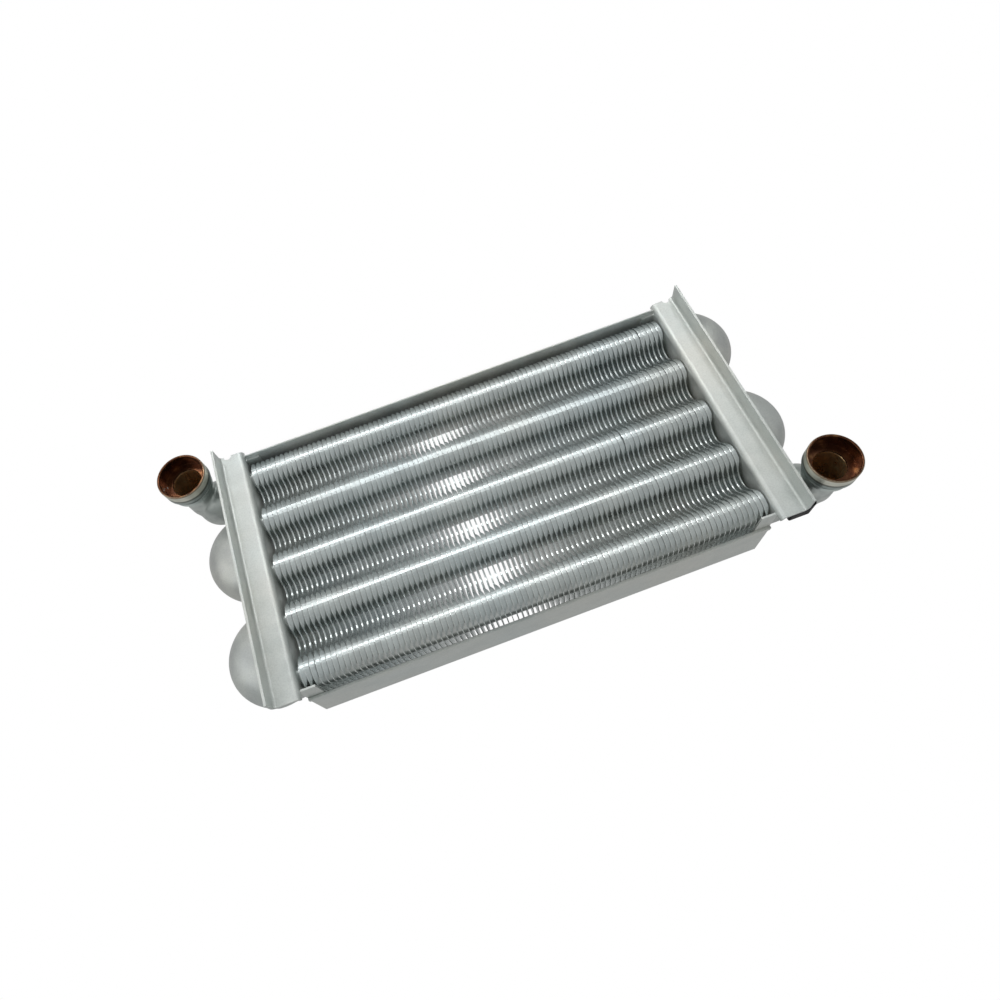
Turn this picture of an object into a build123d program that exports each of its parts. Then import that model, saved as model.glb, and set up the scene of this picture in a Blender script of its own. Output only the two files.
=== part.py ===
from build123d import *

import math
import os

# Finned-tube primary heat exchanger of a wall-hung boiler.
# Five oval water tubes run along X through a stack of thin fins, joined in series by return caps
# on the outside of two folded end plates. An elbow at each end of the water path turns up (+Z).
# Units are millimetres. Z = 0 is the flue side the block stands on, +Z points at the burner side,
# and the origin is midway between the two elbows and the two long sides.

# ---- driving dimensions ----
tube_count = 5
tube_pitch = 27.2
tube_half_width = 6.5
tube_half_height = 10.0
tube_wall = 0.8
tube_centre_z = 30.7
tube_end_beyond_plate = 1.5

fin_count = 88
fin_pitch = 2.59
fin_thickness = 0.4
fin_half_width = 62.5
fin_bottom_z = 1.0
fin_crest_z = 43.0
fin_crest_radius = 9.5
fin_valley_radius = 6.0
fin_corner_chamfer = 2.0
fold_reach = 7.2
fold_length = 1.95
fold_thickness = 0.4
braze_gap = 0.05

plate_inner_x = 115.0
plate_thickness = 1.2
plate_half_width = 63.7
plate_return_length = 7.0
plate_return_thickness = 1.0
flange_top_z = 45.5
flange_half_length = 67.5
lip_inner_x = 127.3
lip_top_z = 54.5
bend_radius = 1.5
notch_x = 123.5
notch_radius = 2.0

side_plate_thickness = 0.8
front_plate_top_z = 29.0
side_plate_clearance = 0.1
hem_height = 2.5
hem_thickness = 0.7

cap_outer_radius = 23.7
cap_half_height = 13.4
cap_wall = 1.0
cap_turn_x = 124.0
cap_shoulder_out = 0.66
cap_shoulder_up = 0.88

elbow_axis_x = 143.0
elbow_wall = 0.8
elbow_neck_radius = 8.3
elbow_heel_z = 33.0
elbow_top_z = 53.0
elbow_boot_radius = 11.8
elbow_boot_end_x = 136.2
elbow_boot_inset = 3.0

mouth_z = 61.3
mouth_radius = 12.2
mouth_bore_radius = 10.9
mouth_rim_fillet = 0.55
mouth_bore_depth = 7.0
collar_bottom_z = 48.2
collar_bead_radius = 10.9
collar_bead_height = 3.0
collar_groove_radius = 10.1
collar_groove_height = 1.2
collar_chamfer = 0.8

turbulator_half_length = 112.0
turbulator_half_height = 6.0
turbulator_swing = 3.6
turbulator_thickness = 0.5
turbulator_fold = 12.0

seal_length = 6.0
seal_inner_x = 120.6
seal_outer_x = 131.8
seal_bottom_z = 37.5
seal_top_z = 48.6
seal_corner_radius = 1.6

# ---- worked-out places ----
tube_rows = [(tube_count - 1) / 2 * tube_pitch - row * tube_pitch for row in range(tube_count)]
plate_outer_x = plate_inner_x + plate_thickness
flange_bottom_z = flange_top_z - plate_thickness
outer_bend = bend_radius + plate_thickness
flange_bend_z = flange_top_z - outer_bend
lip_outer_x = lip_inner_x + plate_thickness
side_plate_outer_y = plate_half_width + side_plate_thickness
tube_half_length = plate_outer_x + tube_end_beyond_plate
END_SIDES = {"left": -1, "right": 1}


def save(name, shape):
    """Writes one named sub-part."""
    export_step(shape, f"parts/{name}.step")


def at_end(shape, side):
    """Mirrors a shape modelled at the +X end to the chosen end."""
    return shape if side > 0 else mirror(shape, about=Plane.YZ)


def oval_rod(half_width, half_height, x_low, x_high, row_y):
    """Solid rod of oval section along X, at one tube row."""
    plane = Plane(origin=(x_low, row_y, tube_centre_z), x_dir=(0, 1, 0), z_dir=(1, 0, 0))
    return extrude(plane * Ellipse(half_width, half_height), x_high - x_low)


def fin_outline():
    """Fin face in the YZ plane: straight flue edge, five rounded lobes on the burner edge."""
    crest_centre_z = fin_crest_z - fin_crest_radius
    reach = fin_crest_radius + fin_valley_radius
    half_pitch = tube_pitch / 2
    rise = math.sqrt(reach**2 - half_pitch**2)
    join_y = half_pitch * fin_crest_radius / reach
    join_z = crest_centre_z + rise * fin_crest_radius / reach
    valley_z = crest_centre_z + rise - fin_valley_radius
    edge_from_crest = fin_half_width - tube_rows[0]
    shoulder_z = crest_centre_z + math.sqrt(fin_crest_radius**2 - edge_from_crest**2)
    curves = []
    for row, row_y in enumerate(tube_rows):
        first = row == 0
        last = row == tube_count - 1
        start = (fin_half_width, shoulder_z) if first else (row_y + join_y, join_z)
        end = (-fin_half_width, shoulder_z) if last else (row_y - join_y, join_z)
        curves.append(ThreePointArc(start, (row_y, fin_crest_z), end))
        if not last:
            next_start = (row_y - tube_pitch + join_y, join_z)
            curves.append(ThreePointArc(end, (row_y - half_pitch, valley_z), next_start))
    base = [
        (-fin_half_width, shoulder_z),
        (-fin_half_width, fin_bottom_z + fin_corner_chamfer),
        (-fin_half_width + fin_corner_chamfer, fin_bottom_z),
        (fin_half_width - fin_corner_chamfer, fin_bottom_z),
        (fin_half_width, fin_bottom_z + fin_corner_chamfer),
        (fin_half_width, shoulder_z),
    ]
    curves.append(Polyline(*base))
    outline = make_face(Curve() + curves)
    for row_y in tube_rows:
        hole = Ellipse(tube_half_width + braze_gap, tube_half_height + braze_gap)
        outline -= Pos(row_y, tube_centre_z) * hole
    return outline


def fold_outline(row_y):
    """Section of the folded top edge over one tube: a short arched band along the lobe."""
    inner_radius = fin_crest_radius - fold_thickness
    crest_centre_z = fin_crest_z - fin_crest_radius
    limit = math.asin(fold_reach / fin_crest_radius)

    def at(radius, angle):
        return (row_y + radius * math.sin(angle), crest_centre_z + radius * math.cos(angle))

    ends = [(at(inner_radius, angle), at(fin_crest_radius, angle)) for angle in (-limit, limit)]
    upper = ThreePointArc(ends[0][1], at(fin_crest_radius, 0), ends[1][1])
    lower = ThreePointArc(ends[0][0], at(inner_radius, 0), ends[1][0])
    return make_face(Curve() + [upper, lower, Line(*ends[0]), Line(*ends[1])])


def fin_stack():
    """Every fin, as separate thin solids along X, each with its lobes folded over towards the next."""
    across = Plane(origin=(-fin_thickness / 2, 0, 0), x_dir=(0, 1, 0), z_dir=(1, 0, 0))
    fin = extrude(across * fin_outline(), fin_thickness)
    beside = across.offset(fin_thickness)
    for row_y in tube_rows:
        fin += extrude(beside * fold_outline(row_y), fold_length)
    first_x = -(fin_count - 1) / 2 * fin_pitch
    return Compound([Pos(first_x + index * fin_pitch, 0, 0) * fin.solid() for index in range(fin_count)])


def tube(row_y):
    """Oval copper water tube that passes through both end plates."""
    outer = oval_rod(tube_half_width, tube_half_height, -tube_half_length, tube_half_length, row_y)
    inner_width = tube_half_width - tube_wall
    inner_height = tube_half_height - tube_wall
    return outer - oval_rod(inner_width, inner_height, -tube_half_length, tube_half_length, row_y)


def turbulator(row_y):
    """Folded strip that stirs the water inside a tube."""
    folds = int(2 * turbulator_half_length / turbulator_fold)
    start_x = -folds * turbulator_fold / 2
    points = []
    for fold in range(folds + 1):
        swing = turbulator_swing if fold % 2 else -turbulator_swing
        points.append((start_x + fold * turbulator_fold, row_y + swing))
    half = turbulator_thickness / 2
    upper = [(x, y + half) for x, y in points]
    lower = [(x, y - half) for x, y in reversed(points)]
    strip = make_face(Polyline(*upper, *lower, close=True))
    base = Plane.XY.offset(tube_centre_z - turbulator_half_height)
    return extrude(base * strip, 2 * turbulator_half_height)


def end_plate(side):
    """Folded tube sheet: web, outward flange with an upturned lip, and short inward side returns."""
    profile = make_face(
        Curve()
        + [
            Line((plate_inner_x, 0), (plate_inner_x, flange_bend_z)),
            RadiusArc(
                (plate_inner_x, flange_bend_z),
                (plate_inner_x + outer_bend, flange_top_z),
                outer_bend,
            ),
            Line((plate_inner_x + outer_bend, flange_top_z), (lip_inner_x - bend_radius, flange_top_z)),
            RadiusArc(
                (lip_inner_x - bend_radius, flange_top_z),
                (lip_inner_x, flange_top_z + bend_radius),
                -bend_radius,
            ),
            Polyline(
                (lip_inner_x, flange_top_z + bend_radius),
                (lip_inner_x, lip_top_z),
                (lip_outer_x, lip_top_z),
                (lip_outer_x, flange_bottom_z + outer_bend),
            ),
            RadiusArc(
                (lip_outer_x, flange_bottom_z + outer_bend),
                (lip_outer_x - outer_bend, flange_bottom_z),
                outer_bend,
            ),
            Line((lip_outer_x - outer_bend, flange_bottom_z), (plate_outer_x + bend_radius, flange_bottom_z)),
            RadiusArc(
                (plate_outer_x + bend_radius, flange_bottom_z),
                (plate_outer_x, flange_bottom_z - bend_radius),
                -bend_radius,
            ),
            Polyline((plate_outer_x, flange_bottom_z - bend_radius), (plate_outer_x, 0), (plate_inner_x, 0)),
        ]
    )
    sheet = extrude(Plane.XZ * profile, flange_half_length, both=True)
    for end in (-1, 1):
        trim_y = end * (plate_half_width + flange_half_length) / 2
        trim = Box(2 * outer_bend, flange_half_length - plate_half_width, 2 * flange_bend_z)
        sheet -= Pos(plate_inner_x, trim_y, 0) * trim
        return_y = end * (plate_half_width - plate_return_thickness / 2)
        fold = Box(plate_return_length, plate_return_thickness, flange_bend_z)
        sheet += Pos(plate_inner_x - plate_return_length / 2, return_y, flange_bend_z / 2) * fold
    for row_y in tube_rows:
        sheet -= oval_rod(
            tube_half_width + braze_gap,
            tube_half_height + braze_gap,
            plate_inner_x - plate_thickness,
            plate_outer_x + plate_thickness,
            row_y,
        )
    notch = Cylinder(notch_radius, 4 * plate_thickness)
    sheet -= Pos(notch_x, flange_half_length, flange_top_z) * notch
    return at_end(sheet, side)


def front_plate():
    """Long flat cover over the lower front of the fin stack, with a hem folded out along its top edge."""
    wall = Box(2 * plate_outer_x, side_plate_thickness, front_plate_top_z)
    wall = Pos(0, -plate_half_width - side_plate_thickness / 2, front_plate_top_z / 2) * wall
    hem = Box(2 * plate_outer_x, hem_thickness, hem_height)
    hem = Pos(0, -side_plate_outer_y - hem_thickness / 2, front_plate_top_z - hem_height / 2) * hem
    hemmed = wall + hem
    edges = hemmed.edges().filter_by(Axis.X).group_by(Axis.Z)[-1]
    return fillet(edges, hem_thickness / 2)


def rear_plate():
    """Full-height cover over the rear of the fin stack, cut away at both top corners for the flanges."""
    wall = Box(2 * plate_outer_x, side_plate_thickness, flange_top_z)
    centre_y = plate_half_width + side_plate_thickness / 2
    wall = Pos(0, centre_y, flange_top_z / 2) * wall
    cut_width = 2 * (plate_outer_x - plate_inner_x + side_plate_clearance)
    cut_height = 2 * (flange_top_z - flange_bend_z + side_plate_clearance)
    for end in (-1, 1):
        wall -= Pos(end * plate_outer_x, centre_y, flange_top_z) * Box(cut_width, 2, cut_height)
    return wall


def cap_edge(radius, half_height):
    """Upper outline of a return cap, from its middle out to its widest point."""
    shoulder = (cap_shoulder_out * radius, cap_shoulder_up * half_height)
    return Spline((0, half_height), shoulder, (radius, 0), tangents=((1, 0), (0, -1)))


def cap_solid(radius, half_height, centre_y):
    """Solid half-moon: a straight skirt from the end plate, then half a turn about a vertical axis."""
    edge = cap_edge(radius, half_height)
    lower = mirror(edge, about=Plane.XZ)
    half_face = make_face(Curve() + [edge, lower, Line((0, -half_height), (0, half_height))])
    whole_face = half_face + mirror(half_face, about=Plane.YZ)
    skirt_plane = Plane(origin=(plate_outer_x, centre_y, tube_centre_z), x_dir=(0, 1, 0), z_dir=(1, 0, 0))
    skirt = extrude(skirt_plane * whole_face, cap_turn_x - plate_outer_x)
    turn_plane = Plane(origin=(cap_turn_x, centre_y, tube_centre_z), x_dir=(0, -1, 0), z_dir=(-1, 0, 0))
    turn_axis = Axis((cap_turn_x, centre_y, tube_centre_z), (0, 0, 1))
    turn = revolve(turn_plane * half_face, turn_axis, 180)
    return skirt + turn


def flange_bend():
    """Bar that fills the inside of the fold between web and flange, with its round face cut away."""
    corner = Pos(plate_outer_x + bend_radius / 2, 0, flange_bottom_z - bend_radius / 2)
    bar = corner * Box(bend_radius, 2 * flange_half_length, bend_radius)
    axis = Pos(plate_outer_x + bend_radius, 0, flange_bottom_z - bend_radius)
    return bar - axis * Rot(90, 0, 0) * Cylinder(bend_radius, 2 * flange_half_length)


def return_cap(side, centre_y):
    """Hollow cap brazed over two neighbouring tube ends, its rim trimmed to the flange's bend."""
    outer = cap_solid(cap_outer_radius, cap_half_height, centre_y)
    inner = cap_solid(cap_outer_radius - cap_wall, cap_half_height - cap_wall, centre_y)
    return at_end(outer - inner - flange_bend(), side)


def elbow_solid(row_y, shrink):
    """Solid elbow, made smaller all round by shrink: wide round-ended boot with a narrower neck upwards."""
    boot_radius = elbow_boot_radius - shrink
    neck_radius = elbow_neck_radius - shrink
    inward = -1 if row_y > 0 else 1
    boot_y = row_y + inward * elbow_boot_inset
    start = Plane(origin=(plate_outer_x, boot_y, tube_centre_z), z_dir=(1, 0, 0))
    boot = extrude(start * Circle(boot_radius), elbow_boot_end_x - plate_outer_x)
    boot += Pos(elbow_boot_end_x, boot_y, tube_centre_z) * Sphere(boot_radius)
    neck_height = elbow_top_z - elbow_heel_z
    neck = Pos(elbow_axis_x, row_y, elbow_heel_z + neck_height / 2) * Cylinder(neck_radius, neck_height)
    heel = Pos(elbow_axis_x, row_y, elbow_heel_z) * Sphere(neck_radius)
    return boot + neck + heel


def elbow(side, row_y):
    """Hollow elbow that carries water in or out of an outer tube."""
    return at_end(elbow_solid(row_y, 0) - elbow_solid(row_y, elbow_wall), side)


def mouth_collar(side, row_y):
    """Turned socket on the elbow's neck: lower bead, groove and wide cup with a rounded rim."""
    bore = elbow_neck_radius - elbow_wall
    socket = elbow_neck_radius + braze_gap
    bead_top_z = collar_bottom_z + collar_bead_height
    groove_bottom_z = bead_top_z + collar_chamfer
    groove_top_z = groove_bottom_z + collar_groove_height
    step_z = mouth_z - mouth_bore_depth
    outline = Polyline(
        (socket, collar_bottom_z),
        (collar_bead_radius - collar_chamfer, collar_bottom_z),
        (collar_bead_radius, collar_bottom_z + collar_chamfer),
        (collar_bead_radius, bead_top_z),
        (collar_groove_radius, groove_bottom_z),
        (collar_groove_radius, groove_top_z),
        (mouth_radius, groove_top_z + collar_chamfer),
        (mouth_radius, mouth_z),
        (mouth_bore_radius, mouth_z),
        (mouth_bore_radius, step_z),
        (bore, step_z),
        (bore, elbow_top_z + braze_gap),
        (socket, elbow_top_z + braze_gap),
        close=True,
    )
    ring = revolve(Plane.XZ * make_face(outline), Axis.Z, 360)
    rims = ring.edges().filter_by(GeomType.CIRCLE).group_by(Axis.Z)[-1]
    ring = fillet(rims, mouth_rim_fillet)
    return at_end(Pos(elbow_axis_x, row_y, 0) * ring, side)


def corner_seal():
    """Black rubber block wrapped under the flange and up the lip at the right plate's front end."""
    centre_y = -flange_half_length + seal_length / 2
    pad_width = seal_outer_x - seal_inner_x
    pad_height = flange_bottom_z - seal_bottom_z
    pad = Box(pad_width, seal_length, pad_height)
    pad = Pos(seal_inner_x + pad_width / 2, centre_y, seal_bottom_z + pad_height / 2) * pad
    wrap_width = seal_outer_x - lip_outer_x
    wrap_height = seal_top_z - seal_bottom_z
    wrap = Box(wrap_width, seal_length, wrap_height)
    wrap = Pos(lip_outer_x + wrap_width / 2, centre_y, seal_bottom_z + wrap_height / 2) * wrap
    block = pad + wrap
    corners = block.edges().filter_by(Axis.Z).group_by(Axis.X)[-1]
    return fillet(corners, seal_corner_radius)


def main():
    os.makedirs("parts", exist_ok=True)
    save("fins", fin_stack())
    for number, row_y in enumerate(tube_rows, start=1):
        save(f"tube_{number}", tube(row_y))
        save(f"turbulator_{number}", turbulator(row_y))
    for name, side in END_SIDES.items():
        save(f"end_plate_{name}", end_plate(side))
    save("side_plate_rear", rear_plate())
    save("side_plate_front", front_plate())
    # Water goes round tube 1 to tube 5 in turn, so the caps alternate between the two ends.
    caps = {
        "return_cap_right_rear": (1, 0),
        "return_cap_left_rear": (-1, 1),
        "return_cap_right_front": (1, 2),
        "return_cap_left_front": (-1, 3),
    }
    for name, (side, row) in caps.items():
        save(name, return_cap(side, (tube_rows[row] + tube_rows[row + 1]) / 2))
    for name, side in END_SIDES.items():
        row_y = tube_rows[0] if side < 0 else tube_rows[-1]
        save(f"elbow_{name}", elbow(side, row_y))
        save(f"mouth_collar_{name}", mouth_collar(side, row_y))
    save("corner_seal", corner_seal())


main()
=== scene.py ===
import bpy
import bmesh
import math
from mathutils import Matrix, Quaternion, Vector, noise


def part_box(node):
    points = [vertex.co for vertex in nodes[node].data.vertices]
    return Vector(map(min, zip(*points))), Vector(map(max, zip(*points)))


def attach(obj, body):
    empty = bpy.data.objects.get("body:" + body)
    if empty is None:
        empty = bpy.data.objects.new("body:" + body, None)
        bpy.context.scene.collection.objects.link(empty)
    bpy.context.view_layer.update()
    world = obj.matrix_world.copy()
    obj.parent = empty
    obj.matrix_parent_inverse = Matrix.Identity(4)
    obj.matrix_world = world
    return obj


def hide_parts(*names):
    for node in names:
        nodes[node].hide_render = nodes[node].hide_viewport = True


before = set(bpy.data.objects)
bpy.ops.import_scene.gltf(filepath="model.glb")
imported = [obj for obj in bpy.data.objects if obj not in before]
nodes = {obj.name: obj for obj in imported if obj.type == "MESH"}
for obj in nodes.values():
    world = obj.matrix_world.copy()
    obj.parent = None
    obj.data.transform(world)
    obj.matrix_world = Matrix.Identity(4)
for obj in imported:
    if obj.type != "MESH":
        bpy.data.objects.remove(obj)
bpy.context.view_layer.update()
MM = 0.001

# ---- sizes in millimetres, as in the CAD ----
tube_count = 5
tube_pitch = 27.2
tube_half_width = 6.5
tube_half_height = 10.0
tube_centre_z = 30.7

# Fins and the folded edges of their lobes.
fin_count = 88
fin_pitch = 2.59
fin_thickness = 0.4
fin_half_width = 62.5
fin_bottom_z = 1.0
fin_crest_z = 43.0
fin_crest_radius = 9.5
fin_valley_radius = 6.0
fin_corner = 2.0
fin_lean_degrees = -2.9
hole_gap = 0.05
fold_reach = 7.4
fold_length = 2.2
fold_thickness = 0.4
fold_drop = 0.12
fold_bend_x = 0.5
fold_root = 0.9
lobe_steps = 14
valley_steps = 8
hole_steps = 12
gap_steps = 10

# The folds narrow by this share in the valleys, over this stretch of the way from crest to valley.
valley_open = 0.85
opening = (0.35, 1.0)

# Places where handling has bent the lobe tops: x, y, push, and reach along the lobe.
knock_width = 1.4
knocks = [
    (68.6, 0.0, 0.5, 5.0),
    (69.5, -10.0, -0.4, 3.0),
    (75.0, -27.2, 0.4, 3.0),
    (104.0, 27.2, 0.5, 4.0),
    (105.5, 20.0, -0.5, 3.0),
    (106.5, 0.0, 0.5, 3.5),
    (102.0, 54.4, 0.5, 3.5),
    (-109.0, -54.4, -0.5, 4.0),
]

# End plates and return caps; the caps' side walls draw in from the tuck's place to the plate.
plate_outer_x = 116.2
cap_tuck_x = 130.0
cap_tuck = 0.09

# Elbows and collars; smoothing shrinks an elbow's skin by its loss.
elbow_axis_x = 143.0
elbow_wall = 0.8
elbow_neck_radius = 8.3
elbow_heel_z = 33.0
elbow_top_z = 53.0
elbow_boot_radius = 11.8
elbow_boot_end_x = 136.2
elbow_boot_inset = 3.0
elbow_overrun = 3.0
elbow_smooth_rounds = 14
elbow_smooth_loss = 0.1
elbow_skin_grid = 0.6
ring_segments = 48
dome_steps = 12
collar_inside_radius = 11.9

# Widths of the small roundings along the sheet edges.
plate_rounding = 0.25
cap_rounding = 0.3
collar_rounding = 0.15
seal_rounding = 0.8
rounding_from = math.radians(30)
flat_enough = math.radians(0.5)
same_point = 0.002

# Worked out from the sizes above.
middle_row = (tube_count - 1) // 2
tube_rows = [(middle_row - row) * tube_pitch for row in range(tube_count)]
half_pitch = tube_pitch / 2
lobe_reach = fin_crest_radius + fin_valley_radius
lobe_rise = math.sqrt(lobe_reach**2 - half_pitch**2)
crest_centre_z = fin_crest_z - fin_crest_radius


# ---- small mesh helpers ----
def linked(name, data):
    """New object that shows the given mesh, lamp or camera in the scene."""
    thing = bpy.data.objects.new(name, data)
    bpy.context.scene.collection.objects.link(thing)
    return thing


def smooth_mesh(name, bm):
    """Smooth-shaded mesh from a finished bmesh, which is freed."""
    mesh = bpy.data.meshes.new(name)
    bm.to_mesh(mesh)
    bm.free()
    mesh.polygons.foreach_set("use_smooth", [True] * len(mesh.polygons))
    return mesh


def flat_object(name, verts, faces):
    """Flat-shaded mesh object from points in millimetres."""
    mesh = bpy.data.meshes.new(name)
    mesh.from_pydata([Vector(v) * MM for v in verts], [], faces)
    mesh.validate()
    mesh.polygons.foreach_set("use_smooth", [False] * len(mesh.polygons))
    return linked(name, mesh)


def stand_for(piece, node, material):
    """Puts a finished piece in the place of a CAD node."""
    piece.data.materials.clear()
    piece.data.materials.append(material)
    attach(piece, "root")
    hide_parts(node)


def refined_copy(node, bevel_mm, segments=2):
    """Copy of a CAD node's mesh with its flat faces cleaned up and its edges rounded."""
    bm = bmesh.new()
    bm.from_mesh(nodes[node].data)
    bmesh.ops.remove_doubles(bm, verts=bm.verts, dist=same_point * MM)
    bmesh.ops.dissolve_limit(bm, angle_limit=flat_enough, verts=bm.verts, edges=bm.edges)
    name = node + "_finished"
    piece = linked(name, smooth_mesh(name, bm))
    bevel = piece.modifiers.new("rounded_edges", "BEVEL")
    bevel.width = bevel_mm * MM
    bevel.segments = segments
    bevel.limit_method = "ANGLE"
    bevel.angle_limit = rounding_from
    bevel.harden_normals = True
    normals = piece.modifiers.new("even_shading", "WEIGHTED_NORMAL")
    normals.keep_sharp = True
    return piece


# ---- materials ----
coat_grain = 0.05


def fresh_material(name):
    """New material with its node tree and its Principled shader."""
    material = bpy.data.materials.new(name)
    material.use_nodes = True
    tree = material.node_tree
    shader = tree.nodes["Principled BSDF"]
    return material, tree, shader


def object_noise(tree, scale, detail):
    """Noise in object space; scale is in features per metre."""
    place = tree.nodes.new("ShaderNodeTexCoord")
    texture = tree.nodes.new("ShaderNodeTexNoise")
    texture.inputs["Scale"].default_value = scale
    texture.inputs["Detail"].default_value = detail
    tree.links.new(place.outputs["Object"], texture.inputs["Vector"])
    return texture.outputs["Fac"]


def ramp(tree, factor, stops):
    """Colour ramp from (position, colour) pairs."""
    node = tree.nodes.new("ShaderNodeValToRGB")
    elements = node.color_ramp.elements
    while len(elements) < len(stops):
        elements.new(0.5)
    for element, (position, colour) in zip(elements, stops):
        element.position = position
        element.color = (*colour, 1.0)
    tree.links.new(factor, node.inputs["Fac"])
    return node.outputs["Color"]


def grey_ramp(tree, factor, low, high):
    """Runs from one grey level to another as the factor goes from 0.3 to 0.7."""
    return ramp(tree, factor, [(0.3, (low,) * 3), (0.7, (high,) * 3)])


def mix_colour(tree, factor, first, second, mode="MIX"):
    """Two colour sockets mixed by a number or by a socket."""
    node = tree.nodes.new("ShaderNodeMix")
    node.data_type = "RGBA"
    node.blend_type = mode
    if isinstance(factor, float):
        node.inputs["Factor"].default_value = factor
    else:
        tree.links.new(factor, node.inputs["Factor"])
    for socket, value in (("A", first), ("B", second)):
        target = [s for s in node.inputs if s.name == socket and s.type == "RGBA"][0]
        tree.links.new(value, target)
    return [s for s in node.outputs if s.type == "RGBA"][0]


def bump(tree, shader, height, distance_mm, strength, before=None):
    """Bump on the shader's normal, on top of an earlier one where there is one."""
    node = tree.nodes.new("ShaderNodeBump")
    node.inputs["Strength"].default_value = strength
    node.inputs["Distance"].default_value = distance_mm * MM
    tree.links.new(height, node.inputs["Height"])
    if before is not None:
        tree.links.new(before, node.inputs["Normal"])
    tree.links.new(node.outputs["Normal"], shader.inputs["Normal"])
    return node.outputs["Normal"]


def coated_metal(name, light, dark, roughness, metallic):
    """Silvery aluminised coating: mottled colour, fine sprayed grain and uneven gloss."""
    material, tree, shader = fresh_material(name)
    mottle = object_noise(tree, 90.0, 5.0)
    grain_noise = object_noise(tree, 1500.0, 2.0)
    cloud = object_noise(tree, 18.0, 3.0)
    base = ramp(tree, mottle, [(0.32, dark), (0.62, light)])
    tint = ramp(tree, cloud, [(0.3, (0.93, 0.97, 0.98)), (0.7, (1.0, 0.99, 0.96))])
    base = mix_colour(tree, 1.0, base, tint, "MULTIPLY")
    speck = ramp(tree, grain_noise, [(0.3, (0.86, 0.86, 0.86)), (0.6, (1.0, 1.0, 1.0))])
    base = mix_colour(tree, 0.7, base, speck, "MULTIPLY")
    tree.links.new(base, shader.inputs["Base Color"])
    tree.links.new(grey_ramp(tree, mottle, *roughness), shader.inputs["Roughness"])
    shader.inputs["Metallic"].default_value = metallic
    grain = bump(tree, shader, grain_noise, coat_grain, 0.5)
    bump(tree, shader, mottle, coat_grain * 3, 0.4, grain)
    return material


def math_node(tree, operation, first, second):
    """One arithmetic step between two sockets or numbers."""
    node = tree.nodes.new("ShaderNodeMath")
    node.operation = operation
    for place, value in enumerate((first, second)):
        if isinstance(value, (int, float)):
            node.inputs[place].default_value = value
        else:
            tree.links.new(value, node.inputs[place])
    return node.outputs[0]


def inner_side(tree, centre, limit_mm):
    """1 on faces that look at a vertical axis from nearer than the limit, 0 elsewhere."""
    place = tree.nodes.new("ShaderNodeTexCoord")
    away = tree.nodes.new("ShaderNodeVectorMath")
    away.operation = "SUBTRACT"
    away.inputs[1].default_value = (centre[0] * MM, centre[1] * MM, 0.0)
    tree.links.new(place.outputs["Object"], away.inputs[0])
    flat = tree.nodes.new("ShaderNodeVectorMath")
    flat.operation = "MULTIPLY"
    flat.inputs[1].default_value = (1.0, 1.0, 0.0)
    tree.links.new(away.outputs[0], flat.inputs[0])
    size = tree.nodes.new("ShaderNodeVectorMath")
    size.operation = "LENGTH"
    tree.links.new(flat.outputs[0], size.inputs[0])
    radius = size.outputs["Value"]
    surface = tree.nodes.new("ShaderNodeNewGeometry")
    facing = tree.nodes.new("ShaderNodeVectorMath")
    facing.operation = "DOT_PRODUCT"
    tree.links.new(flat.outputs[0], facing.inputs[0])
    tree.links.new(surface.outputs["True Normal"], facing.inputs[1])
    outward = math_node(tree, "DIVIDE", facing.outputs["Value"], radius)
    wear = math_node(tree, "MULTIPLY", object_noise(tree, 500.0, 3.0), 0.9)
    looks_in = math_node(tree, "LESS_THAN", outward, math_node(tree, "SUBTRACT", wear, 0.25))
    upright = tree.nodes.new("ShaderNodeSeparateXYZ")
    tree.links.new(surface.outputs["True Normal"], upright.inputs[0])
    not_under = math_node(tree, "GREATER_THAN", upright.outputs["Z"], -0.3)
    near = math_node(tree, "LESS_THAN", radius, limit_mm * MM)
    return math_node(tree, "MULTIPLY", math_node(tree, "MULTIPLY", looks_in, not_under), near)


def height_share(tree, low_mm, high_mm):
    """0 at the lower height, 1 at the upper one, even in between."""
    place = tree.nodes.new("ShaderNodeTexCoord")
    parts = tree.nodes.new("ShaderNodeSeparateXYZ")
    tree.links.new(place.outputs["Object"], parts.inputs[0])
    share = tree.nodes.new("ShaderNodeMapRange")
    share.inputs["From Min"].default_value = low_mm * MM
    share.inputs["From Max"].default_value = high_mm * MM
    tree.links.new(parts.outputs["Z"], share.inputs["Value"])
    return share.outputs["Result"]


def sprayed_copper(name, centre, limit_mm, bare_stops, bands):
    """Copper, bare on the inside, with a silvery spray coat on the outside tinted by height in bands;
    the inside ramps and some bands hold painted light and shade, as noted where they are set.
    """
    material, tree, shader = fresh_material(name)
    inside = inner_side(tree, centre, limit_mm)
    patches = object_noise(tree, 260.0, 4.0)
    fine = object_noise(tree, 1600.0, 2.0)
    bare = ramp(tree, patches, bare_stops)
    spray_stops = [(0.3, (0.6, 0.62, 0.6)), (0.6, (0.7, 0.72, 0.69)), (0.8, (0.74, 0.73, 0.68))]
    spray = ramp(tree, patches, spray_stops)
    low, high = bands[0][0], bands[-1][0]
    stops = [((height - low) / (high - low), colour) for height, colour in bands]
    tint = ramp(tree, height_share(tree, low, high), stops)
    spray = mix_colour(tree, 1.0, spray, tint, "MULTIPLY")
    tree.links.new(mix_colour(tree, inside, spray, bare), shader.inputs["Base Color"])
    coat_gloss = grey_ramp(tree, patches, 0.5, 0.3)
    bare_gloss = grey_ramp(tree, patches, 0.3, 0.16)
    gloss = mix_colour(tree, inside, coat_gloss, bare_gloss)
    tree.links.new(gloss, shader.inputs["Roughness"])
    shader.inputs["Metallic"].default_value = 0.85
    bump(tree, shader, fine, 0.04, 0.5)
    return material


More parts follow.
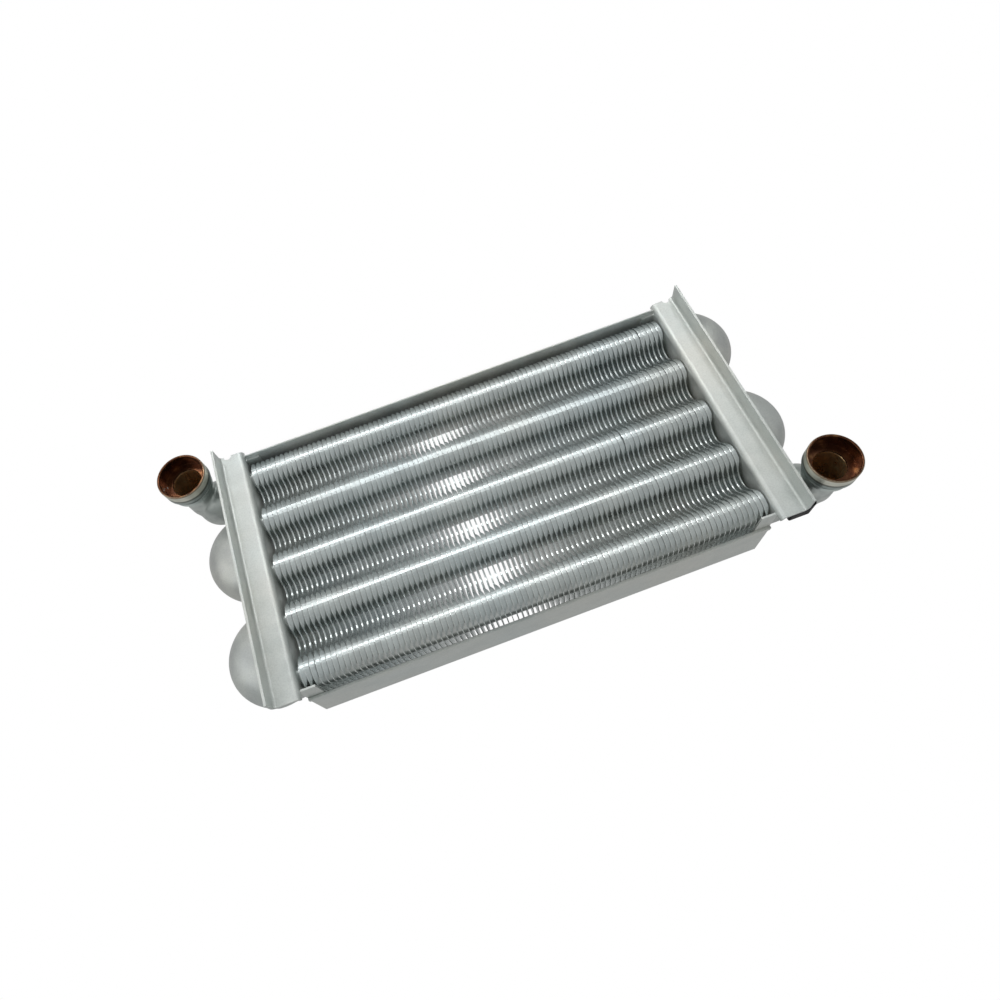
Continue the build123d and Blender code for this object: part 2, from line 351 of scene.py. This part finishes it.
def rubber(name):
    """Dull black rubber, a little uneven."""
    material, tree, shader = fresh_material(name)
    patches = object_noise(tree, 300.0, 4.0)
    stops = [(0.3, (0.004, 0.004, 0.004)), (0.7, (0.012, 0.012, 0.013))]
    tree.links.new(ramp(tree, patches, stops), shader.inputs["Base Color"])
    tree.links.new(grey_ramp(tree, patches, 0.45, 0.65), shader.inputs["Roughness"])
    shader.inputs["Specular IOR Level"].default_value = 0.2
    bump(tree, shader, object_noise(tree, 900.0, 3.0), 0.08, 0.6)
    return material


coatings = {
    # Fin faces and folded edges are one coated sheet in two tones: the lighter face colour is painted
    # light in the gaps between fins, and the darker edge colour is painted shade that tones down their
    # highlights.
    "fin_face_metal_painted_light": ((0.82, 0.85, 0.85), (0.74, 0.77, 0.77), (0.2, 0.3), 0.9),
    "fin_edge_metal_painted_shade": ((0.66, 0.7, 0.705), (0.57, 0.605, 0.61), (0.31, 0.41), 0.85),
    "plate_metal": ((0.77, 0.78, 0.76), (0.655, 0.675, 0.655), (0.38, 0.55), 0.6),
    "cap_metal": ((0.66, 0.67, 0.65), (0.52, 0.53, 0.53), (0.42, 0.56), 0.6),
    "tube_metal": ((0.72, 0.74, 0.73), (0.55, 0.57, 0.57), (0.25, 0.36), 0.85),
    "turbulator_metal": ((0.5, 0.5, 0.5), (0.35, 0.35, 0.35), (0.34, 0.5), 0.8),
}
metals = {name: coated_metal(name, *look) for name, look in coatings.items()}
seal_rubber = rubber("seal_rubber")
# Bare copper inside the openings: the collar's dark ramp is oxide stain and painted shade; the elbow's
# bright ramp, seen deeper in, is painted light.
stained_copper_painted_shade = [(0.3, (0.05, 0.018, 0.009)), (0.55, (0.12, 0.045, 0.02)), (0.75, (0.26, 0.13, 0.055))]
bright_copper_painted_light = [(0.3, (0.62, 0.36, 0.16)), (0.55, (0.82, 0.52, 0.26)), (0.75, (0.86, 0.7, 0.38))]
# Collar tint by height in mm: the dark bands at 51.6–53.6 and 56.0–56.8 are painted groove shade; the
# brownish band at the rim is bare copper.
collar_bands_with_groove_shade = [
    (48.0, (0.8, 0.86, 0.86)),
    (51.0, (0.8, 0.86, 0.86)),
    (51.6, (0.22, 0.24, 0.23)),
    (53.6, (0.22, 0.24, 0.23)),
    (54.2, (0.5, 0.55, 0.55)),
    (55.6, (0.5, 0.55, 0.55)),
    (56.0, (0.24, 0.25, 0.23)),
    (56.8, (0.24, 0.25, 0.23)),
    (57.4, (1.0, 0.97, 0.88)),
    (60.2, (1.0, 0.97, 0.88)),
    (60.9, (0.5, 0.38, 0.28)),
    (61.3, (0.5, 0.38, 0.28)),
]
# Elbow tint by height: darker towards the bottom.
elbow_bands = [(20.0, (0.72, 0.73, 0.72)), (36.0, (0.74, 0.76, 0.76)), (48.0, (0.84, 0.88, 0.88))]


# ---- fins ----
def fin_top(y):
    """Height of the lobed burner edge at one place across the fin."""
    nearest = min(tube_rows, key=lambda row_y: abs(y - row_y))
    away = abs(y - nearest)
    outside = abs(y) > tube_rows[0]
    join = half_pitch * fin_crest_radius / lobe_reach
    if outside or away <= join:
        return crest_centre_z + math.sqrt(fin_crest_radius**2 - away**2)
    drop = math.sqrt(fin_valley_radius**2 - (half_pitch - away) ** 2)
    return crest_centre_z + lobe_rise - drop


def fin_bottom(y):
    """Height of the flue edge, with its small corner chamfers."""
    return fin_bottom_z + max(0.0, abs(y) - (fin_half_width - fin_corner))


def fin_columns():
    """Places across the fin where its mesh has a column, close together round each tube hole."""
    hole = tube_half_width + hole_gap
    columns = {}
    for row_y in tube_rows:
        for step in range(hole_steps + 1):
            angle = math.pi * step / hole_steps
            y = row_y + hole * math.cos(angle)
            columns[round(y, 5)] = (tube_half_height + hole_gap) * math.sin(angle)
    gap_start = tube_rows[0] - hole
    gap = tube_pitch - 2 * hole
    for row in range(tube_count - 1):
        for step in range(1, gap_steps):
            columns[round(gap_start - row * tube_pitch - gap * step / gap_steps, 5)] = 0.0
    end_gap = fin_half_width - tube_rows[0] - hole
    for end in (-1, 1):
        for part in (1.0, 0.6, 0.3):
            columns[round(end * (tube_rows[0] + hole + end_gap * part), 5)] = 0.0
    return sorted(columns.items())


def fin_sheet():
    """One fin as a closed thin plate: points (side, y, z) and faces."""
    low_rows, high_rows = 2, 4
    no_hole = 0.001
    points, index = [], {}
    columns = fin_columns()

    def point(side, y, z):
        """Number of the point at this place, made when it is first asked for."""
        key = (side, round(y, 4), round(z, 4))
        if key not in index:
            index[key] = len(points)
            points.append((side, y, z))
        return index[key]

    def rim_face(side, start, stop):
        """Face across the sheet's thickness, from one side's edge to the other's."""
        across = -side
        return [point(side, *start), point(side, *stop), point(across, *stop), point(across, *start)]

    def stations(y, half_hole):
        """Heights of the mesh rows at one column, below the hole and above it."""
        below = tube_centre_z - half_hole
        above = tube_centre_z + half_hole
        bottom, top = fin_bottom(y), fin_top(y)
        low = [bottom + (below - bottom) * i / low_rows for i in range(low_rows + 1)]
        high = [above + (top - above) * i / high_rows for i in range(high_rows + 1)]
        return low, high

    faces = []
    for (y0, h0), (y1, h1) in zip(columns, columns[1:]):
        for band in (0, 1):
            first = stations(y0, h0)[band]
            second = stations(y1, h1)[band]
            for i in range(len(first) - 1):
                near, far = (y0, first[i + 1]), (y1, second[i + 1])
                corners = ((y0, first[i]), (y1, second[i]), far, near)
                faces.append([point(1, *c) for c in corners])
                faces.append([point(-1, *c) for c in reversed(corners)])
            if h0 > no_hole or h1 > no_hole:
                edge = -1 if band == 0 else 0
                rim = ((y0, first[edge]), (y1, second[edge]))
                if band == 0:
                    rim = rim[::-1]
                faces.append(rim_face(-1, *rim))
        outer = ((y0, stations(y0, h0)[1][-1]), (y1, stations(y1, h1)[1][-1]))
        faces.append(rim_face(1, *outer))
        inner = ((y0, stations(y0, h0)[0][0]), (y1, stations(y1, h1)[0][0]))
        faces.append(rim_face(-1, *inner))
    for y, half_hole in (columns[0], columns[-1]):
        low, high = stations(y, half_hole)
        for band in (low, high):
            for z0, z1 in zip(band, band[1:]):
                quad = [point(1, y, z0), point(1, y, z1), point(-1, y, z1), point(-1, y, z0)]
                faces.append(quad if y < 0 else quad[::-1])
    return points, faces


def fold_share(away):
    """Share of the full fold length, 1 near a crest (away 0) and an S-shaped fall towards the valley."""
    low, high = opening
    share = min(1.0, max(0.0, (away - low) / (high - low)))
    return 1.0 - valley_open * (share * share * (3 - 2 * share))


def top_edge():
    """Stations along the lobed top edge: place (y, z), direction out of the metal, and how folded."""
    turn = math.asin(half_pitch / lobe_reach)
    end_turn = math.asin(fold_reach / fin_crest_radius)
    stations = []
    for row, row_y in enumerate(tube_rows):
        start = -end_turn if row == 0 else -turn
        stop = end_turn if row == tube_count - 1 else turn
        for step in range(lobe_steps + 1):
            angle = start + (stop - start) * step / lobe_steps
            out = (-math.sin(angle), math.cos(angle))
            place = (row_y + fin_crest_radius * out[0], crest_centre_z + fin_crest_radius * out[1])
            stations.append((place, out, fold_share(abs(angle) / turn)))
        if row == tube_count - 1:
            break
        for step in range(1, valley_steps):
            angle = turn * (1 - 2 * step / valley_steps)
            out = (-math.sin(angle), math.cos(angle))
            middle = (row_y - half_pitch, crest_centre_z + lobe_rise)
            place = (middle[0] - fin_valley_radius * out[0], middle[1] - fin_valley_radius * out[1])
            stations.append((place, out, fold_share(2 - abs(angle) / turn)))
    return stations


def fold_strip():
    """Folded top edge, laid over towards the next fin: points (x, y, z) and faces."""
    section = [
        (-fin_thickness / 2, -fold_root),
        (-fin_thickness / 2, -0.35),
        (-0.1, -0.1),
        (0.12, 0.0),
        (fold_bend_x, 0.0),
        (fold_length * 0.6, -fold_drop * 0.4),
        (fold_length, -fold_drop),
        (fold_length + 0.05, -fold_drop - fold_thickness * 0.5),
        (fold_length, -fold_drop - fold_thickness),
        (0.4, -fold_thickness - 0.05),
        (fin_thickness / 2, -fold_root),
    ]
    points, faces = [], []
    stations = top_edge()
    for (y, z), (out_y, out_z), share in stations:
        for x, depth in section:
            along = x * share if x > fold_bend_x else x
            points.append((along, y + depth * out_y, z + depth * out_z))
    size = len(section)
    for step in range(len(stations) - 1):
        for i in range(size):
            j = (i + 1) % size
            low, high = step * size, (step + 1) * size
            faces.append((low + j, low + i, high + i, high + j))
    faces.append(tuple(range(size)))
    faces.append(tuple((len(stations) - 1) * size + i for i in range(size))[::-1])
    return points, faces


def knock(x, y):
    """How far handling has pushed the lobe tops over at a few places, in millimetres."""
    pushed = 0.0
    for place_x, place_y, push, reach in knocks:
        away = ((x - place_x) / knock_width) ** 2 + ((y - place_y) / reach) ** 2
        pushed += push * math.exp(-away)
    return pushed


def drift(number, y, by_fin, by_mm, layer, size_mm):
    """Smooth random shift; the two rates say how fast it changes from fin to fin and along a fin."""
    return noise.noise(Vector((number * by_fin, y * by_mm, layer))) * size_mm


def bent(number, x, y, z):
    """Where one fin's sheet is at a point, after a lean, soft waves and a few knocked tips."""
    height = (z - tube_centre_z) / (fin_crest_z - tube_centre_z)
    lean = math.tan(math.radians(fin_lean_degrees)) * (z - tube_centre_z)
    free = max(0.0, height) ** 2
    wave = drift(number, y, 0.13, 0.035, 3.1, 0.2)
    own = drift(number, y, 1.7, 0.02, 9.4, 0.05)
    return x + lean + free * (wave + own + knock(x, y))


def fin_stack():
    """All the fins as one piece, with smooth faces and duller folded edges; the faces' lighter colour is
    painted light and the folded edges' darker colour is painted shade.
    """
    points, faces = fin_sheet()
    points = [(side * fin_thickness / 2, y, z) for side, y, z in points]
    more_points, more_faces = fold_strip()
    materials = [0] * len(faces) + [1] * len(more_faces)
    start = len(points)
    points.extend(more_points)
    faces.extend([[start + i for i in face] for face in more_faces])
    verts, polygons = [], []
    first_x = -(fin_count - 1) / 2 * fin_pitch
    for number in range(fin_count):
        start = len(verts)
        centre = first_x + number * fin_pitch
        for x, y, z in points:
            verts.append((bent(number, centre, y, z) + x, y, z))
        polygons.extend([[start + i for i in face] for face in faces])
    piece = flat_object("fins_finished", verts, polygons)
    stand_for(piece, "fins", metals["fin_face_metal_painted_light"])
    piece.data.materials.append(metals["fin_edge_metal_painted_shade"])
    piece.data.polygons.foreach_set("material_index", materials * fin_count)


fin_stack()


# ---- elbows ----
def closed_ring(bm, place, radius, x_dir, y_dir):
    """One ring of vertices round a centre point, in millimetres."""
    ring = []
    for step in range(ring_segments):
        angle = 2 * math.pi * step / ring_segments
        point = Vector(place) + radius * (math.cos(angle) * x_dir + math.sin(angle) * y_dir)
        ring.append(bm.verts.new(point * MM))
    return ring


def capsule(bm, start, along, length, radius):
    """Closed round-ended bar: flat at its start, a half ball at its far end."""
    along = Vector(along)
    x_dir = along.orthogonal().normalized()
    y_dir = along.cross(x_dir)
    stations = [(0.0, radius), (length, radius)]
    for step in range(1, dome_steps):
        angle = math.pi / 2 * step / dome_steps
        stations.append((length + radius * math.sin(angle), radius * math.cos(angle)))
    rings = []
    for away, size in stations:
        rings.append(closed_ring(bm, Vector(start) + along * away, size, x_dir, y_dir))
    for first, second in zip(rings, rings[1:]):
        for i in range(len(first)):
            j = (i + 1) % len(first)
            bm.faces.new((first[i], first[j], second[j], second[i]))
    bm.faces.new(rings[0][::-1])
    bm.faces.new(rings[-1])


def elbow_skin(node, side):
    """Boot and neck of an elbow, both overlong, under one skin."""
    row_y = -side * tube_rows[0]
    boot_y = -side * (tube_rows[0] - elbow_boot_inset)
    bm = bmesh.new()
    boot_start = (side * (plate_outer_x - elbow_overrun), boot_y, tube_centre_z)
    boot_length = elbow_boot_end_x - plate_outer_x + elbow_overrun
    capsule(bm, boot_start, (side, 0, 0), boot_length, elbow_boot_radius + elbow_smooth_loss)
    neck_start = (side * elbow_axis_x, row_y, elbow_top_z + elbow_overrun)
    neck_length = elbow_top_z + elbow_overrun - elbow_heel_z
    capsule(bm, neck_start, (0, 0, -1), neck_length, elbow_neck_radius + elbow_smooth_loss)
    bmesh.ops.recalc_face_normals(bm, faces=bm.faces)
    mesh = bpy.data.meshes.new(node + "_body")
    bm.to_mesh(mesh)
    bm.free()
    body = linked(node + "_body", mesh)
    remesh = body.modifiers.new("one_skin", "REMESH")
    remesh.mode = "VOXEL"
    remesh.voxel_size = elbow_skin_grid * MM
    settled = bpy.context.evaluated_depsgraph_get()
    skin = bpy.data.meshes.new_from_object(body.evaluated_get(settled))
    bpy.data.objects.remove(body)
    return skin


def blended_elbow(node, side):
    """Hollow elbow whose neck runs into its boot with a soft fillet, cut square at both openings."""
    bm = bmesh.new()
    bm.from_mesh(elbow_skin(node, side))
    all_ways = {"use_axis_x": True, "use_axis_y": True, "use_axis_z": True}
    for _ in range(elbow_smooth_rounds):
        bmesh.ops.smooth_vert(bm, verts=bm.verts, factor=0.5, **all_ways)
    cuts = (
        ((side * plate_outer_x, 0, 0), (-side, 0, 0)),
        ((0, 0, elbow_top_z), (0, 0, 1)),
    )
    for place, outward in cuts:
        geometry = bm.verts[:] + bm.edges[:] + bm.faces[:]
        plane = Vector(place) * MM
        bmesh.ops.bisect_plane(bm, geom=geometry, plane_co=plane, plane_no=outward, clear_outer=True)
    name = node + "_finished"
    piece = linked(name, smooth_mesh(name, bm))
    wall = piece.modifiers.new("wall", "SOLIDIFY")
    wall.thickness = elbow_wall * MM
    wall.offset = -1.0
    return piece


def tucked_cap(node):
    """Return cap whose side walls draw in a little towards the end plate."""
    piece = refined_copy(node, cap_rounding)
    low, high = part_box(node)
    middle_y = (low[1] + high[1]) / 2
    tuck_length = (cap_tuck_x - plate_outer_x) * MM
    for vertex in piece.data.vertices:
        inward = max(0.0, cap_tuck_x * MM - abs(vertex.co.x)) / tuck_length
        vertex.co.y = middle_y + (vertex.co.y - middle_y) * (1.0 - cap_tuck * inward)
    return piece


# ---- tubes and what is in them ----
for row in range(1, tube_count + 1):
    for kind in ("tube", "turbulator"):
        slots = nodes[f"{kind}_{row}"].data.materials
        slots.clear()
        slots.append(metals[f"{kind}_metal"])

# ---- folded plates, caps, elbows and collars ----
for node in ("end_plate_left", "end_plate_right", "side_plate_front", "side_plate_rear"):
    stand_for(refined_copy(node, plate_rounding), node, metals["plate_metal"])
for node in nodes:
    if node.startswith("return_cap"):
        stand_for(tucked_cap(node), node, metals["cap_metal"])
for end, side in (("left", -1), ("right", 1)):
    centre = (side * elbow_axis_x, -side * tube_rows[0])
    inside_neck = elbow_neck_radius - elbow_wall / 2
    elbow = f"elbow_{end}"
    elbow_metal = sprayed_copper(f"elbow_metal_{end}", centre, inside_neck, bright_copper_painted_light, elbow_bands)
    stand_for(blended_elbow(elbow, side), elbow, elbow_metal)
    collar = f"mouth_collar_{end}"
    inside = collar_inside_radius
    collar_metal = sprayed_copper(f"collar_metal_{end}", centre, inside, stained_copper_painted_shade, collar_bands_with_groove_shade)
    stand_for(refined_copy(collar, collar_rounding), collar, collar_metal)
seal = refined_copy("corner_seal", seal_rounding, segments=3)
stand_for(seal, "corner_seal", seal_rubber)


# ---- floor and backdrop ----
ground_radius = 4.0
ground_segments = 96
backdrop_height = 3.0
floor_depth = 0.3
floor_strength = 1.0
mirrored_depth = 0.6
mirrored_strength = 0.54


def glowing_white(name, strength):
    """Even white that needs no lamp."""
    material = bpy.data.materials.new(name)
    material.use_nodes = True
    tree = material.node_tree
    tree.nodes.clear()
    glow = tree.nodes.new("ShaderNodeEmission")
    glow.inputs["Color"].default_value = (1.0, 1.0, 1.0, 1.0)
    glow.inputs["Strength"].default_value = strength
    out = tree.nodes.new("ShaderNodeOutputMaterial")
    tree.links.new(glow.outputs["Emission"], out.inputs["Surface"])
    return material


def ground(name, depth_mm, strength, seen):
    """Wide disc under the object. The one the camera sees is white and has a wall all round it."""
    bm = bmesh.new()
    bmesh.ops.create_circle(bm, cap_ends=True, segments=ground_segments, radius=ground_radius)
    if seen:
        rim = [edge for edge in bm.edges if edge.is_boundary]
        wall = bmesh.ops.extrude_edge_only(bm, edges=rim)["geom"]
        for vertex in wall:
            if isinstance(vertex, bmesh.types.BMVert):
                vertex.co.z += backdrop_height
    mesh = bpy.data.meshes.new(name)
    bm.to_mesh(mesh)
    bm.free()
    floor = linked(name, mesh)
    floor.location.z = -depth_mm * MM
    mesh.materials.append(glowing_white(name + "_white", strength))
    floor.visible_camera = seen
    floor.visible_glossy = not seen
    floor.visible_diffuse = False
    floor.visible_shadow = False


ground("floor", floor_depth, floor_strength, True)
ground("floor_mirrored", mirrored_depth, mirrored_strength, False)


# ---- light ----
light_target = Vector((0, 0, 0.03))
sky_strength = 0.44


def softbox(name, place, width, height, power):
    """Soft rectangular lamp that shines at the object; places and sizes are in metres."""
    data = bpy.data.lights.new(name, "AREA")
    data.shape = "RECTANGLE"
    data.size = width
    data.size_y = height
    data.energy = power
    lamp = linked(name, data)
    lamp.location = place
    lamp.rotation_mode = "QUATERNION"
    lamp.rotation_quaternion = (light_target - Vector(place)).to_track_quat("-Z", "Y")


softbox("key", (0.05, 0.52, 0.85), 1.0, 0.2, 2.8)
softbox("fill_left", (-0.8, 0.0, 0.72), 0.6, 0.6, 1.7)
softbox("fill_right", (1.0, 0.0, 0.42), 0.6, 0.6, 0.3)

world = bpy.data.worlds.new("studio")
world.use_nodes = True
sky = world.node_tree
heading = sky.nodes.new("ShaderNodeTexCoord")
heading_parts = sky.nodes.new("ShaderNodeSeparateXYZ")
sky.links.new(heading.outputs["Generated"], heading_parts.inputs[0])
sky_stops = [(0.0, (0.38, 0.41, 0.4)), (0.3, (0.64, 0.67, 0.66)), (0.75, (1.06, 1.09, 1.08))]
sky_colour = ramp(sky, heading_parts.outputs["Z"], sky_stops)
sky.links.new(sky_colour, sky.nodes["Background"].inputs["Color"])
sky.nodes["Background"].inputs["Strength"].default_value = sky_strength
bpy.context.scene.world = world

# ---- camera ----
camera_place = Vector((-30.45, -151.43, 347.47)) * MM
camera_target = Vector((-17.02, -6.33, 43.0)) * MM
camera_roll = math.radians(-15.33)
camera_data = bpy.data.cameras.new("camera")
camera_data.lens = 25.01
camera_data.sensor_width = 36.0
camera_data.shift_x = 0.0351
camera_data.shift_y = 0.0076
camera_data.clip_start = 0.01
camera = linked("camera", camera_data)
camera.location = camera_place
camera.rotation_mode = "QUATERNION"
aim = (camera_target - camera_place).to_track_quat("-Z", "Y")
camera.rotation_quaternion = aim @ Quaternion((0, 0, 1), camera_roll)
bpy.context.scene.camera = camera
bpy.context.scene.view_settings.view_transform = "Standard"
bpy.context.scene.cycles.glossy_bounces = 14
bpy.context.scene.cycles.max_bounces = 16
